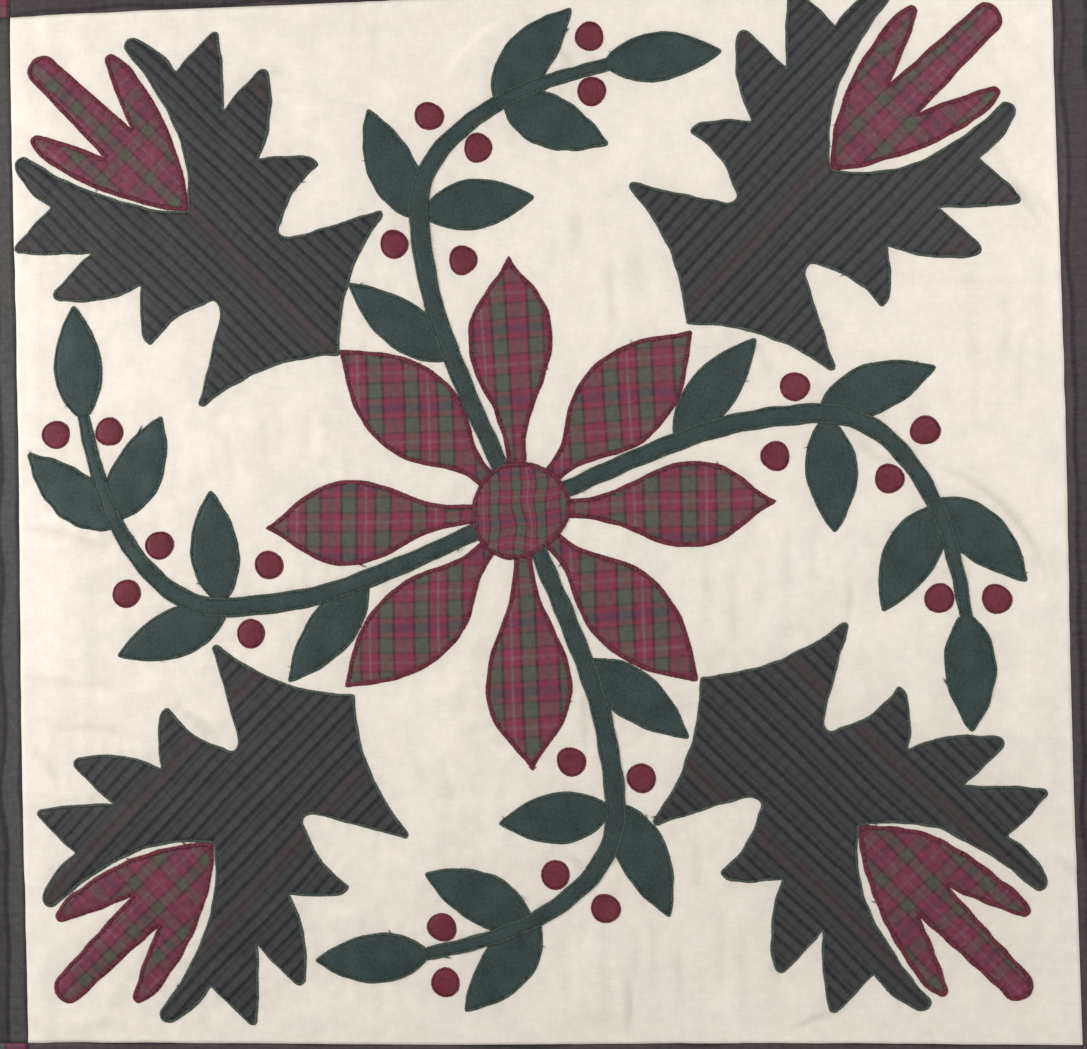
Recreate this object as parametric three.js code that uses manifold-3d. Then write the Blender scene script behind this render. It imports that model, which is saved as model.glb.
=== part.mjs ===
// A throw quilt, shown by one of its blocks: a cream square with a flower, four berry vines and four serrated
// leaves that hold tulips, all sewn on as cut patches. Dark plaid strips, red plaid corner squares and a
// binding finish the block on all sides.
// Millimetres, +Z up. The quilt lies face up with its flat underside on Z = 0 and its middle on the Z axis.
// +X is to the viewer's right and +Y away from the viewer, towards the top of the block.
// Every patch is drawn in its own flat frame, placed on the block, and then cut as one thin solid.

import * as THREE from 'three';
import { mergeVertices } from 'three/addons/utils/BufferGeometryUtils.js';
import initManifold from 'manifold-3d';

const { Manifold, Mesh: ManifoldMesh } = await initManifold().then((kernel) => {
  kernel.setup();
  return kernel;
});

// Driving dimensions of the layers
const BLOCK = 610; // finished side of the cream block
const STRIP = 76; // finished width of the plaid strips
const BINDING = 10; // width of the binding on the face
const BINDING_RISE = 1; // how far its fold stands above the flat of the face
const BINDING_SEAM_RISE = 0.3; // and where it is sewn down
const BINDING_FOOT = 1.5; // how far its lower edge turns up from the floor
const BINDING_BELLY = 2.2; // height of its outermost line
const SEAM_GAP = 0.3; // space left between pieces that are sewn to each other
const LOFT = 5; // thickness where sewing holds the layers down
const PUFF = 1.4; // how far the filling rises between the sewing lines
const PATCH = 1; // thickness of a patch with its sewn edge

// How the filling rises away from the nearest patch or seam
const GROUND_FLAT = 13; // held flat this far from a patch
const GROUND_RUN = 18; // and fully risen after this much more
const STRIP_FLAT = 4;
const STRIP_RUN = 24;
const UNEVEN = 0.3; // share of the rise that comes and goes across the quilt
const UNEVEN_WAVE = 190; // distance over which it does

// The seams are not quite straight: the whole face wanders sideways, and stands still at the outer edge
const WANDER = 1.6;
const WANDER_WAVE = 390;
const WANDER_START = 0.6; // radians

// Grid of the quilted faces
const GROUND_CELLS = 50;
const STRIP_CELLS_LONG = 24;
const STRIP_CELLS_WIDE = 6;

// Flower: the eight petals are cut by eye, so each has its own turn and reach
const FLOWER = { x: -7, y: 4.5, radius: 28 };
const PETAL_NECK = 5; // half width at the flower's centre
const PETAL_CUTS = {
  // where the petal is widest as a share of its reach, how far the neck stays narrow, and the half width of
  // the guide that shapes the tip
  slim: { widest: 0.68, neck: 40, tip: 5 },
  broad: { widest: 0.61, neck: 28, tip: 9 },
};
const PETAL_TIP_GUIDE = 14; // distance of that guide from the tip
const PETAL_SWELL = 30; // how far the curve of the side runs straight into the widest place
const PETALS = [
  // turn in degrees, reach from the flower's middle, sway: how far the tip lies to the left of that line,
  // and half width
  { name: 'e', turn: -1, reach: 148, sway: 1.5, half: 24.4, cut: PETAL_CUTS.slim },
  { name: 'ne', turn: 45.6, reach: 141.5, sway: -3.5, half: 26, cut: PETAL_CUTS.broad },
  { name: 'n', turn: 93.4, reach: 148, sway: -6.5, half: 24.2, cut: PETAL_CUTS.slim },
  { name: 'nw', turn: 135.6, reach: 141.8, sway: 4, half: 25.8, cut: PETAL_CUTS.broad },
  { name: 'w', turn: 182.5, reach: 150, sway: 1.5, half: 24.4, cut: PETAL_CUTS.slim },
  { name: 'sw', turn: 228.6, reach: 143.5, sway: -10, half: 24, cut: PETAL_CUTS.broad },
  { name: 's', turn: 273.3, reach: 152, sway: -2, half: 24.6, cut: PETAL_CUTS.slim },
  { name: 'se', turn: 316.2, reach: 145, sway: -3.3, half: 22.5, cut: PETAL_CUTS.broad },
];

// Vines: one pattern piece, drawn for the arm that grows towards +Y and turned for the other three
const ARMS = [
  // turn in degrees, and how much longer than the pattern piece the arm was laid
  { name: 'n', turn: 0.3, stretch: 1 },
  { name: 'w', turn: 90.4, stretch: 1.006 },
  { name: 's', turn: 180.3, stretch: 1 },
  { name: 'e', turn: -91.4, stretch: 1 },
];
const VINE_ROUTE = [
  [-11.5, 26.4], [-30, 71], [-45.3, 115], [-52.2, 157], [-52, 186], [-41.2, 208.5],
  [-21.8, 226.5], [0.8, 239.5], [24.5, 248], [49.5, 254], [64, 256.6],
];
const VINE_HALF = { start: 4.6, middle: 5.5, end: 3.3 }; // half widths along the vine
const VINE_STATIONS = 22;
const LEAVES = [
  // where the leaf leaves the vine and where its tip lies, with its widths to the left and right of that line
  { base: [-38, 91], tip: [-96.5, 136], left: 14.5, right: 11.5 },
  { base: [-54.5, 173.5], tip: [-81, 238], left: 14.5, right: 12 },
  { base: [-49, 175.5], tip: [15, 181.5], left: 14.5, right: 12.5 },
  { base: [-4, 237.5], tip: [40, 290], left: 16, right: 11 },
  { base: [-0.5, 241], tip: [59.5, 209.5], left: 12, right: 16 },
  { base: [60.5, 256.4], tip: [126.5, 260], left: 14, right: 12.5 },
];
const LEAF_STEM = 3; // half width where the leaf joins the vine
// guides of a leaf's side: how far along the leaf they stand, and how far out as a share of its width
const LEAF_NEAR = { along: 0.25, out: 1.45 };
const LEAF_FAR = { along: 0.65, out: 1.3 };
const BERRY_RADIUS = 8.1;
const BERRIES = [[50.5, 273], [51, 241], [-44.5, 232], [-16.5, 212], [-68.5, 158], [-28.5, 147]];

// Serrated leaves: one pattern piece, placed by the fork that holds the tulip
const CORNERS = [
  // turn of the diagonal, how far past it and out from the flower the fork lies, the tulip's lean in it, and
  // how far to the left and to the right the leaf's inner edge and the tulip's lower side were cut
  { name: 'ne', turn: 45, past: 0.6, reach: 265, lean: -1.8, leaf: [26.7, 30.3], tulip: [20.8, 18.6] },
  { name: 'nw', turn: 135.2, past: 1.6, reach: 262.8, lean: -0.4, leaf: [22.3, 27.2], tulip: [18.1, 19.5] },
  { name: 'sw', turn: 225.5, past: 1, reach: 266, lean: -2.3, leaf: [26.7, 27.3], tulip: [20.4, 19.8] },
  { name: 'se', turn: 315.2, past: 0.5, reach: 267.5, lean: -1.4, leaf: [30.7, 28.4], tulip: [24.4, 19] },
];
const FORK_CLEAR = 0.3; // the tulip starts this far out of the fork
// One side of the leaf: along and aside run from the fork, bow is how far the edge to that point swells out.
// In each table one point's aside is left open, because it differs from corner to corner.
const LEAF_SIDE = [
  { at: 'base', along: -122.4, aside: 0 },
  { at: 'horn', along: -85.8, aside: 78, bow: -7.4 },
  { at: 'its shoulder', along: -82.8, aside: 79.4, bow: 0.4 },
  { at: 'bay, near side', along: -55, aside: 30, bow: -0.5 },
  { at: 'bay, far side', along: -45, aside: 34, bow: -4.5 },
  { at: 'first tooth', along: -38.5, aside: 74, bow: -4 },
  { at: 'its shoulder', along: -29, aside: 71.5, bow: 1.5 },
  { at: 'first notch', along: -10, aside: 51.5, bow: 1 },
  { at: 'second tooth', along: 20, aside: 92, bow: 4 },
  { at: 'its shoulder', along: 26, aside: 90, bow: 2 },
  { at: 'second notch', along: 25, aside: 57.5, bow: 0.5 },
  { at: 'third tooth', along: 59, aside: 89, bow: 1 },
  { at: 'its shoulder', along: 62, aside: 85, bow: 1.5 },
  { at: 'third notch', along: 62, aside: 55, bow: 0.5 },
  { at: 'finger', along: 94, aside: 53, bow: 2.5 },
  { at: 'its shoulder', along: 95, aside: 44, bow: 2.5 },
  { at: 'inner edge', along: 31, bow: -3 },
  { at: 'fork', along: -0.4, aside: 0, bow: -2.1 },
];
const TULIP_SIDE = [
  { at: 'base', along: 0, aside: 0 },
  { at: 'lower side', along: 28, bow: 1.5 },
  { at: 'upper side', along: 77, aside: 36, bow: 2.4 },
  { at: 'outer lobe', along: 99, aside: 35, bow: 2 },
  { at: 'its shoulder', along: 99, aside: 31, bow: 0 },
  { at: 'cleft', along: 56, aside: 11.5, bow: 1 },
  { at: 'middle lobe', along: 120, aside: 8.6, bow: 0 },
  { at: 'its end', along: 131, aside: 0, bow: 3.6 },
];

// Straight pieces in each kind of curve
const EDGE_STEPS = 4;
const CURVE_STEPS = 9;
const FLOWER_STEPS = 32;
const BERRY_STEPS = 14;
const FOLD_STEPS = 4;
const JOIN_WITHIN = 1e-4; // points nearer than this are one point

// Cloths
const cloth = (color, roughness) => new THREE.MeshStandardMaterial({ color, roughness, metalness: 0 });
const CREAM_COTTON = cloth(0xf0e7da, 0.95);
const DARK_PLAID = cloth(0x403f42, 0.95);
const RED_PLAID = cloth(0x77404f, 0.95);
const GREEN_COTTON = cloth(0x3c4a48, 0.95);
const BERRY_COTTON = cloth(0x733847, 0.95);

const HALF_BLOCK = BLOCK / 2;
const HALF_INNER = HALF_BLOCK + STRIP; // inner edge of the binding
const HALF_WHOLE = HALF_INNER + BINDING;
const QUARTER_TURNS = [0, 1, 2, 3].map((k) => (k * Math.PI) / 2);
const SIDE_NAMES = ['n', 'w', 's', 'e'];
const CORNER_NAMES = ['ne', 'nw', 'sw', 'se'];

// Plan shift of the whole face, the same for every piece that lies on it
function wandered(x, y) {
  const still = Math.PI / (2 * HALF_WHOLE);
  const wave = (2 * Math.PI) / WANDER_WAVE;
  return new THREE.Vector2(
    x + WANDER * Math.cos(still * x) * Math.sin(wave * y + WANDER_START),
    y + WANDER * Math.cos(still * y) * Math.sin(wave * x - WANDER_START),
  );
}

function placed(points, turn, x, y) {
  const middle = new THREE.Vector2();
  return points.map((p) => p.clone().rotateAround(middle, turn).add(new THREE.Vector2(x, y)));
}

// Points of one side's table, walked out along +aside with bowed edges
function sideOutline(side) {
  const outward = [];
  side.forEach((end, i) => {
    if (i === 0) {
      outward.push(new THREE.Vector2(end.along, end.aside));
      return;
    }
    const from = new THREE.Vector2(side[i - 1].along, side[i - 1].aside);
    const to = new THREE.Vector2(end.along, end.aside);
    const run = to.clone().sub(from).normalize();
    // the control point of a quadratic curve stands twice as far out as its middle
    const outwards = new THREE.Vector2(-run.y, run.x).multiplyScalar(2 * end.bow);
    const guide = from.clone().lerp(to, 0.5).add(outwards);
    const steps = end.bow === 0 ? 1 : EDGE_STEPS;
    outward.push(...new THREE.QuadraticBezierCurve(from, guide, to).getPoints(steps).slice(1));
  });
  return outward;
}

// A piece cut from a folded pattern: out along its left side and back along its right, with the open point of
// the table set for each
function foldedOutline(table, asides) {
  const [left, right] = asides.map((open) => sideOutline(table.map((row) => ({ aside: open, ...row }))));
  const back = right.slice(1, -1).reverse().map((p) => new THREE.Vector2(p.x, -p.y));
  return [...left, ...back].reverse();
}

function petalOutline({ reach, sway, half, cut }) {
  const root = FLOWER.radius + 2 * SEAM_GAP;
  const widest = cut.widest * reach;
  const shoulder = (reach + widest) / 2;
  const guide = reach - PETAL_TIP_GUIDE;
  const shape = new THREE.Shape();
  shape.moveTo(root, -PETAL_NECK);
  shape.bezierCurveTo(root + cut.neck, -PETAL_NECK, widest - PETAL_SWELL, -half, widest, -half);
  shape.bezierCurveTo(shoulder, -half, guide, -cut.tip, reach, 0);
  shape.bezierCurveTo(guide, cut.tip, shoulder, half, widest, half);
  shape.bezierCurveTo(widest - PETAL_SWELL, half, root + cut.neck, PETAL_NECK, root, PETAL_NECK);
  const swayed = (p) => p.y + sway * ((p.x - root) / (reach - root)) ** 2;
  return shape.getPoints(CURVE_STEPS).map((p) => new THREE.Vector2(p.x, swayed(p)));
}

function leafOutline({ base, tip, left, right }) {
  const run = new THREE.Vector2(tip[0] - base[0], tip[1] - base[1]);
  const long = run.length();
  const shape = new THREE.Shape();
  shape.moveTo(0, -LEAF_STEM);
  const [near, far] = [LEAF_NEAR.along * long, LEAF_FAR.along * long];
  shape.bezierCurveTo(near, -LEAF_NEAR.out * right, far, -LEAF_FAR.out * right, long, 0);
  shape.bezierCurveTo(far, LEAF_FAR.out * left, near, LEAF_NEAR.out * left, 0, LEAF_STEM);
  return placed(shape.getPoints(CURVE_STEPS), run.angle(), base[0], base[1]);
}

function vineOutline(points) {
  const route = new THREE.SplineCurve(points.map(([x, y]) => new THREE.Vector2(x, y)));
  const rims = [[], []];
  for (let i = 0; i <= VINE_STATIONS; i++) {
    const share = i / VINE_STATIONS;
    const [from, to] = share < 0.5 ? [VINE_HALF.start, VINE_HALF.middle] : [VINE_HALF.middle, VINE_HALF.end];
    const half = THREE.MathUtils.lerp(from, to, share < 0.5 ? 2 * share : 2 * share - 1);
    const at = route.getPointAt(share);
    const along = route.getTangentAt(share);
    rims[0].push(new THREE.Vector2(at.x + half * along.y, at.y - half * along.x));
    rims[1].unshift(new THREE.Vector2(at.x - half * along.y, at.y + half * along.x));
  }
  return [...rims[0], ...rims[1]];
}

function discOutline(radius, steps) {
  return new THREE.EllipseCurve(0, 0, radius, radius).getPoints(steps).slice(0, steps);
}

// Every patch as a name, a cloth and the outlines that are joined in it, in millimetres on the flat block
function patches() {
  const list = [];
  const add = (name, material, turn, x, y, ...outlines) =>
    list.push({ name, material, outlines: outlines.map((o) => placed(o, turn, x, y)) });
  add('flower_centre', RED_PLAID, 0, FLOWER.x, FLOWER.y, discOutline(FLOWER.radius, FLOWER_STEPS));
  for (const petal of PETALS) {
    const turn = THREE.MathUtils.degToRad(petal.turn);
    add(`petal_${petal.name}`, RED_PLAID, turn, FLOWER.x, FLOWER.y, petalOutline(petal));
  }
  for (const arm of ARMS) {
    const turn = THREE.MathUtils.degToRad(arm.turn);
    const laid = ([x, y]) => [arm.stretch * x, arm.stretch * y];
    const leaves = LEAVES.map((leaf) => leafOutline({ ...leaf, base: laid(leaf.base), tip: laid(leaf.tip) }));
    const vine = vineOutline(VINE_ROUTE.map(laid));
    add(`vine_${arm.name}`, GREEN_COTTON, turn, FLOWER.x, FLOWER.y, vine, ...leaves);
    BERRIES.map(laid).forEach(([x, y], i) => {
      const berry = placed(discOutline(BERRY_RADIUS, BERRY_STEPS), 0, x, y);
      add(`berry_${arm.name}_${i + 1}`, BERRY_COTTON, turn, FLOWER.x, FLOWER.y, berry);
    });
  }
  for (const corner of CORNERS) {
    const diagonal = THREE.MathUtils.degToRad(corner.turn);
    const fork = new THREE.Vector2(corner.reach, 0)
      .rotateAround(new THREE.Vector2(), diagonal + THREE.MathUtils.degToRad(corner.past))
      .add(new THREE.Vector2(FLOWER.x, FLOWER.y));
    const lean = THREE.MathUtils.degToRad(corner.lean);
    const leaf = foldedOutline(LEAF_SIDE, corner.leaf);
    const tulip = placed(foldedOutline(TULIP_SIDE, corner.tulip), lean, FORK_CLEAR, 0);
    add(`big_leaf_${corner.name}`, DARK_PLAID, diagonal, fork.x, fork.y, leaf);
    add(`tulip_${corner.name}`, RED_PLAID, diagonal, fork.x, fork.y, tulip);
  }
  return list;
}

// The bare shape of a geometry, with its shared points joined
function bareGeometry(geometry) {
  return mergeVertices(geometry.deleteAttribute('normal').deleteAttribute('uv'), JOIN_WITHIN);
}

function toManifold(geometry) {
  return new Manifold(new ManifoldMesh({
    numProp: 3,
    vertProperties: new Float32Array(geometry.attributes.position.array),
    triVerts: new Uint32Array(geometry.index.array),
  }));
}

function fromManifold(solid) {
  const { vertProperties, triVerts } = solid.getMesh();
  const geometry = new THREE.BufferGeometry();
  geometry.setAttribute('position', new THREE.Float32BufferAttribute(vertProperties, 3));
  geometry.setIndex(new THREE.Uint32BufferAttribute(triVerts, 1));
  return geometry;
}

function patchMesh({ name, material, outlines }) {
  const cut = outlines.map((points) => {
    const shape = new THREE.Shape(points.map((p) => wandered(p.x, p.y)));
    const geometry = new THREE.ExtrudeGeometry(shape, { depth: PATCH, bevelEnabled: false });
    return bareGeometry(geometry.translate(0, 0, LOFT + SEAM_GAP));
  });
  const geometry = cut.length === 1 ? cut[0] : fromManifold(Manifold.union(cut.map(toManifold)));
  return namedMesh(name, geometry, material);
}

function namedMesh(name, geometry, material) {
  geometry.computeVertexNormals();
  const mesh = new THREE.Mesh(geometry, material);
  mesh.name = name;
  return mesh;
}

// Distance from a place on the block to the nearest patch, zero on a patch
function clearOfPatches(x, y, list) {
  let nearest = Infinity;
  for (const { outlines } of list) {
    for (const points of outlines) {
      let inside = false;
      points.forEach((b, i) => {
        const a = points[(i + points.length - 1) % points.length];
        const [dx, dy] = [b.x - a.x, b.y - a.y];
        const share = THREE.MathUtils.clamp(((x - a.x) * dx + (y - a.y) * dy) / (dx * dx + dy * dy), 0, 1);
        nearest = Math.min(nearest, Math.hypot(x - a.x - share * dx, y - a.y - share * dy));
        if (a.y > y !== b.y > y && x < a.x + ((y - a.y) / dy) * dx) inside = !inside;
      });
      if (inside) return 0;
    }
  }
  return nearest;
}

// Height of the face where the nearest sewing is some way off
function risen(x, y, clear, flat, run) {
  const wave = (2 * Math.PI) / UNEVEN_WAVE;
  const share = 1 - UNEVEN * (0.5 + 0.5 * Math.sin(wave * x) * Math.cos(wave * y));
  return LOFT + PUFF * share * THREE.MathUtils.smoothstep(clear, flat, flat + run);
}

// A closed slab over a rectangle, flat below, with the height of its face given at each grid corner
function quiltedSlab({ x0, x1, y0, y1 }, cellsX, cellsY, height) {
  const positions = [];
  const index = [];
  const top = (i, j) => j * (cellsX + 1) + i;
  for (let j = 0; j <= cellsY; j++) {
    for (let i = 0; i <= cellsX; i++) {
      const x = THREE.MathUtils.lerp(x0, x1, i / cellsX);
      const y = THREE.MathUtils.lerp(y0, y1, j / cellsY);
      const at = wandered(x, y);
      positions.push(at.x, at.y, height(x, y));
    }
  }
  for (let j = 0; j < cellsY; j++) {
    for (let i = 0; i < cellsX; i++) {
      index.push(top(i, j), top(i + 1, j), top(i + 1, j + 1), top(i, j), top(i + 1, j + 1), top(i, j + 1));
    }
  }
  // the rim runs anticlockwise round the face, and its copy on the floor closes the sides and the underside
  const rim = [];
  for (let i = 0; i < cellsX; i++) rim.push(top(i, 0));
  for (let j = 0; j < cellsY; j++) rim.push(top(cellsX, j));
  for (let i = cellsX; i > 0; i--) rim.push(top(i, cellsY));
  for (let j = cellsY; j > 0; j--) rim.push(top(0, j));
  const floor = positions.length / 3;
  for (const v of rim) positions.push(positions[3 * v], positions[3 * v + 1], 0);
  const middle = floor + rim.length;
  const centre = wandered((x0 + x1) / 2, (y0 + y1) / 2);
  positions.push(centre.x, centre.y, 0);
  rim.forEach((v, k) => {
    const next = (k + 1) % rim.length;
    index.push(v, floor + k, floor + next, v, floor + next, rim[next], middle, floor + next, floor + k);
  });
  const geometry = new THREE.BufferGeometry();
  geometry.setAttribute('position', new THREE.Float32BufferAttribute(positions, 3));
  geometry.setIndex(index);
  return geometry;
}

const rectangle = (x0, x1, y0, y1) => ({
  x0: x0 + SEAM_GAP / 2, x1: x1 - SEAM_GAP / 2, y0: y0 + SEAM_GAP / 2, y1: y1 - SEAM_GAP / 2,
});

function groundMesh(list) {
  const height = (x, y) => {
    const seam = HALF_BLOCK - Math.max(Math.abs(x), Math.abs(y));
    return risen(x, y, Math.min(seam + GROUND_FLAT, clearOfPatches(x, y, list)), GROUND_FLAT, GROUND_RUN);
  };
  const area = rectangle(-HALF_BLOCK, HALF_BLOCK, -HALF_BLOCK, HALF_BLOCK);
  return namedMesh('ground_block', quiltedSlab(area, GROUND_CELLS, GROUND_CELLS, height), CREAM_COTTON);
}

// A strip or corner square, drawn as a rectangle and puffed between its own four seams
function borderMesh(name, area, material, cellsX, cellsY) {
  const height = (x, y) => {
    const clear = Math.min(x - area.x0, area.x1 - x, y - area.y0, area.y1 - y);
    return risen(x, y, clear, STRIP_FLAT, STRIP_RUN);
  };
  return namedMesh(name, quiltedSlab(area, cellsX, cellsY, height), material);
}

function stripMesh(side) {
  const [b, s] = [HALF_BLOCK, HALF_INNER];
  const areas = { n: [-b, b, b, s], w: [-s, -b, -b, b], s: [-b, b, -s, -b], e: [b, s, -b, b] };
  const lies = side === 'n' || side === 's';
  const cells = lies ? [STRIP_CELLS_LONG, STRIP_CELLS_WIDE] : [STRIP_CELLS_WIDE, STRIP_CELLS_LONG];
  return borderMesh(`strip_${side}`, rectangle(...areas[side]), DARK_PLAID, ...cells);
}

function cornerMesh(name) {
  const [b, s] = [HALF_BLOCK, HALF_INNER];
  const acrossX = name.endsWith('e') ? [b, s] : [-s, -b];
  const acrossY = name.startsWith('n') ? [b, s] : [-s, -b];
  const area = rectangle(...acrossX, ...acrossY);
  return borderMesh(`corner_${name}`, area, RED_PLAID, STRIP_CELLS_WIDE, STRIP_CELLS_WIDE);
}

// One side of the binding: its folded section, with both ends cut at 45 degrees to meet its neighbours
function bindingMesh(side, turn) {
  const fold = new THREE.Shape();
  fold.moveTo(SEAM_GAP / 2, 0);
  fold.lineTo(BINDING - BINDING_FOOT, 0);
  fold.quadraticCurveTo(BINDING, 0, BINDING, BINDING_BELLY);
  fold.quadraticCurveTo(BINDING, LOFT + BINDING_RISE, BINDING / 2, LOFT + BINDING_RISE);
  fold.quadraticCurveTo(BINDING / 4, LOFT + BINDING_RISE, SEAM_GAP / 2, LOFT + BINDING_SEAM_RISE);
  const section = fold.getPoints(FOLD_STEPS);
  const positions = [];
  const reach = (across) => HALF_INNER + across - SEAM_GAP / Math.SQRT2;
  for (const end of [-1, 1]) {
    for (const p of section) positions.push(end * reach(p.x), HALF_INNER + p.x, p.y);
  }
  const n = section.length;
  const index = [];
  for (let k = 0; k < n; k++) {
    const next = (k + 1) % n;
    index.push(k, next, n + next, k, n + next, n + k);
  }
  for (const [a, b, c] of THREE.ShapeUtils.triangulateShape(section, [])) {
    index.push(a, c, b, n + a, n + b, n + c);
  }
  const geometry = new THREE.BufferGeometry();
  geometry.setAttribute('position', new THREE.Float32BufferAttribute(positions, 3));
  geometry.setIndex(index);
  return namedMesh(`binding_${side}`, geometry.rotateZ(turn), DARK_PLAID);
}

const patchList = patches();
const quilt = new THREE.Group();
quilt.add(groundMesh(patchList));
for (const side of SIDE_NAMES) quilt.add(stripMesh(side));
for (const name of CORNER_NAMES) quilt.add(cornerMesh(name));
SIDE_NAMES.forEach((side, k) => quilt.add(bindingMesh(side, QUARTER_TURNS[k])));
for (const patch of patchList) quilt.add(patchMesh(patch));

export default quilt;
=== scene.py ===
"""A block of a throw quilt, laid flat: cream cotton with sewn-on patches, plaid strips, corners, a binding.

Plan sizes are millimetres, with X to the right and Y to the top of the block. Every piece is drawn flat,
raised by one height map of the quilted face, and shifted a little sideways, because the seams wander.
"""
import math

import bpy
import numpy as np
from mathutils.geometry import delaunay_2d_cdt
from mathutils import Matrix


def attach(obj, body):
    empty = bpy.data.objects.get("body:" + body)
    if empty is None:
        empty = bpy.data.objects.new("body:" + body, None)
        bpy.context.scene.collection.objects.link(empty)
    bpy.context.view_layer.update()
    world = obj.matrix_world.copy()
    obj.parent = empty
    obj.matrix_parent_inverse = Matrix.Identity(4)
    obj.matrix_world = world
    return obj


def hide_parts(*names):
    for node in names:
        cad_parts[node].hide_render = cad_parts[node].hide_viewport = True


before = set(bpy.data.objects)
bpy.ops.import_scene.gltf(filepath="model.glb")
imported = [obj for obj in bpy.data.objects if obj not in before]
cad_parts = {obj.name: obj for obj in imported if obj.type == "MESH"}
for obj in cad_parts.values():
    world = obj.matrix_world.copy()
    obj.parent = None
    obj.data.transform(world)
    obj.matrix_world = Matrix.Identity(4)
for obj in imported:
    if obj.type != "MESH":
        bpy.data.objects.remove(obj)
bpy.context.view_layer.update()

MM = 0.001
scene = bpy.context.scene

# Layers
BLOCK = 610
STRIP = 76
BINDING = 10
SEAM_GAP = 0.3
LOFT = 5.0
PUFF = 1.4
HALF_BLOCK = BLOCK / 2
HALF_INNER = HALF_BLOCK + STRIP
HALF_WHOLE = HALF_INNER + BINDING

# Sideways wander of the whole face
WANDER = 1.6
WANDER_WAVE = 390
WANDER_START = 0.6

# Height map of the face: its nodes are also the points of the cream ground
GROUND_CELLS = 300
PITCH = (BLOCK - SEAM_GAP) / GROUND_CELLS
MAP_NODES = 189

# Relief of the face: how tall in millimetres, how long, and over what run it fades
RISE_FROM, RISE_TO = 3, 27
BLOCK_CLEAR = 2
PUFF_UNEVEN, PUFF_LONG = 0.15, 150
DITCH, DITCH_WIDE, DITCH_INSIDE = 0.32, 2.4, 0.5
PUCKER, PUCKER_LONG, PUCKER_FADE = 0.3, 10.5, 7.5
PUCKER_DRIFT, PUCKER_DRIFT_LONG, PUCKER_REACH = 2.2, 13, 45
PUCKER_INSIDE, PUCKER_INSIDE_FADE = 0.5, 5
PATCH_PUFF, PATCH_PUFF_RUN = 0.35, 16
UNDER_PATCH, UNDER_FROM, UNDER_TO = 0.5, 1.0, 3.5
SWELL, SWELL_LONG, SWELL_RUN = 0.5, 95, 40
CRUMPLE, CRUMPLE_LONG = 0.3, 32
RUMPLE, RUMPLE_LONG = 0.13, 15
CRUMPLE_WAVES = 14
CALM, CALM_LONG, CALM_FROM, CALM_TO = 0.35, 130, -0.9, 1.1
CREASE_DEEP, CREASE_STOPS = 2.4, 4
FACE_LOW, FACE_HIGH = 2.5, 8.2

# Painted shade on the ground: darker where patches crowd it, beside their edges, and in its creases, where
# shade falls
CROWD_WIDE, CROWD_PAINTED_SHADE = 9, 0.14
EDGE_PAINTED_SHADE, EDGE_PAINTED_SHADE_WIDE = 0.02, 1.6
CREASE_PAINTED_SHADE = 0.2

# Creases and ridges of the ground: x and y of start and end, bow to the left, half width, height
CREASES = (
    (232, 22, 293, -44, 13, 1.7, -0.85), (268, 214, 301, 154, -3, 1.8, -0.7),
    (283, 182, 303, 160, 2, 2.4, -0.4), (50, -262, 49, -303, 1, 2, -0.7),
    (58, -236, 55, -272, -1, 2.6, -0.35), (79, -250, 80, -286, 1, 2.4, -0.45),
    (66, -233, 64, -280, 1, 3, -0.3), (93, -190, 94, -219, -1, 2.4, -0.5),
    (103, -219, 100, -281, 2, 3.2, -0.3), (118, -232, 117, -290, -1, 3.4, -0.25),
    (140, -300, 174, -287, 2, 2, -0.7), (-303, -2, -249, -17, 3, 2.2, -0.55),
    (-292, 6, -255, -9, 2, 3, 0.35), (-303, -90, -238, -97, -2, 3, -0.45),
    (-286, -121, -227, -128, 2, 3, -0.4), (-297, -133, -280, -157, 2, 2.4, -0.4),
    (-212, -109, -184, -129, 1, 2.6, -0.7), (-41, 260, -3, 292, 4, 3, 0.5),
    (183, -39, 181, -70, 1, 2, -0.45), (105, -3, 113, -26, -2, 2.2, -0.4),
    (131, 95, 139, 76, 1, 1.8, -0.5), (187, 40, 210, 22, -2, 1.8, -0.5), (30, -101, 31, -139, 1, 2, -0.5),
    (22, 276, 36, 256, 1, 2, -0.5), (20, -198, 31, -206, 0, 2, -0.5),
    (131, -260, 137, -271, 0, 2.2, -0.6), (294, -198, 304, -209, 0, 2.2, -0.5),
    (274, 125, 271, 72, 1, 2.6, -0.4), (283, 100, 281, 57, -1, 2.8, -0.3),
    (253, 121, 255, 43, 1, 4, -0.3), (234, 129, 287, 128, 0, 3, -0.3),
    (267, 255, 284, 236, 1, 2.6, -0.3), (102, -25, 100, -75, 1, 3.5, -0.3),
    (117, -27, 119, -81, -1, 3.2, -0.35), (132, -25, 130, -69, 1, 3, -0.3),
    (147, -16, 150, -64, -1, 3.4, -0.35), (162, -13, 161, -53, 1, 3, -0.3),
    (32, 182, 30, 150, 1, 4, -0.45), (50, 146, 52, 104, -1, 3.4, -0.4), (18, 171, 15, 143, 1, 3, -0.25),
    (65, 168, 67, 121, 1, 4, -0.25), (-178, 59, -174, 20, -1, 3, -0.25),
    (-157, 65, -155, 26, 1, 3.4, -0.25), (-130, 68, -132, 37, 1, 3, -0.25),
    (-74, -125, -63, -159, 2, 3, -0.25), (-52, -137, -46, -167, -1, 2.6, -0.3),
    (-155, 272, -130, 261, 1, 3, -0.3), (-130, 233, -108, 238, 1, 2.8, -0.25),
    (37, -233, 36, -296, 1, 3.4, -0.3), (16, -240, 14, -290, -1, 3, -0.25),
)

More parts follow.
